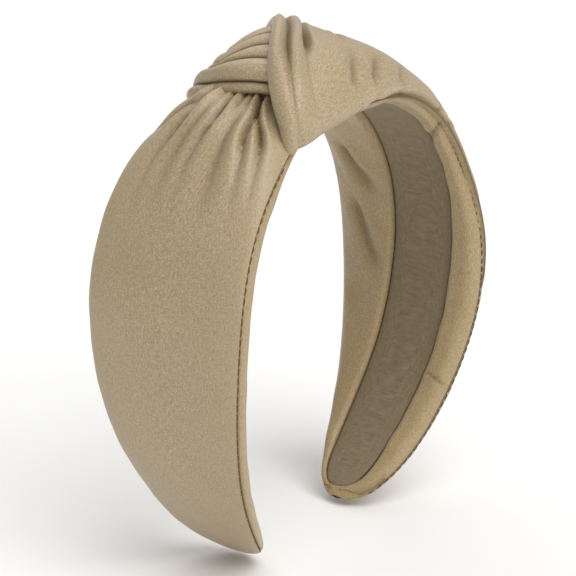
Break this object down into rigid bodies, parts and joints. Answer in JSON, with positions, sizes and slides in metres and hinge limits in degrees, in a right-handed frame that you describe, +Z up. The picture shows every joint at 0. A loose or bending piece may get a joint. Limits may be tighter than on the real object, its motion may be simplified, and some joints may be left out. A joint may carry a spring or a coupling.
{
  "type": "knotted headband",
  "caption": "Padded satin headband on a sprung plastic hoop, with a wide tapering band knotted near the top and a fabric-covered inner strip.",
  "frame": {"origin": "on the surface that the two tips stand on, under the middle of the part's box", "axes": "+X across the head to the side without the knot, -Y towards the stitched front edge, +Z up through the crown"},
  "size_m": [0.1396, 0.0567, 0.1568],
  "materials": {
    "satin": "champagne satin with a fine weave and a soft sheen",
    "satin_facing": "the same satin on the inner side",
    "lining_fabric": "taupe brushed satin ribbon",
    "padding_foam": "soft open-cell foam",
    "hoop_plastic": "moulded black plastic",
    "dried_glue": "dried fabric glue",
    "sewing_thread": "dark brown sewing thread"
  },
  "bodies": {
    "crown": {"core_crown": "hoop_plastic", "lining_crown": "lining_fabric", "adhesive_crown": "dried_glue", "panel_crown_left": "satin", "facing_crown_left": "satin_facing", "foam_crown_left": "padding_foam", "panel_crown_right": "satin", "facing_crown_right": "satin_facing", "foam_crown_right": "padding_foam", "knot_core": "satin", "knot_wrap": "satin", "knot_strap": "satin", "knot_tack_stitches": "sewing_thread", "seam_stitches_crown": "sewing_thread"},
    "left_leg": {"core_left": "hoop_plastic", "lining_left": "lining_fabric", "adhesive_left": "dried_glue", "panel_left": "satin", "facing_left": "satin_facing", "foam_left": "padding_foam", "tip_end_left": "satin", "seam_stitches_left": "sewing_thread"},
    "right_leg": {"core_right": "hoop_plastic", "lining_right": "lining_fabric", "adhesive_right": "dried_glue", "panel_right": "satin", "facing_right": "satin_facing", "foam_right": "padding_foam", "tip_end_right": "satin", "seam_stitches_right": "sewing_thread"}
  },
  "joints": [
    {"name": "left_leg_flex", "type": "hinge", "parent": "crown", "child": "left_leg", "pos_m": [-0.05402, 0, 0.10911], "axis": [0, 1, 0], "range_deg": [-5, 22], "stiffness_Nm_per_rad": 0.6},
    {"name": "right_leg_flex", "type": "hinge", "parent": "crown", "child": "right_leg", "pos_m": [0.05402, 0, 0.10911], "axis": [0, -1, 0], "range_deg": [-5, 22], "stiffness_Nm_per_rad": 0.6}
  ]
}
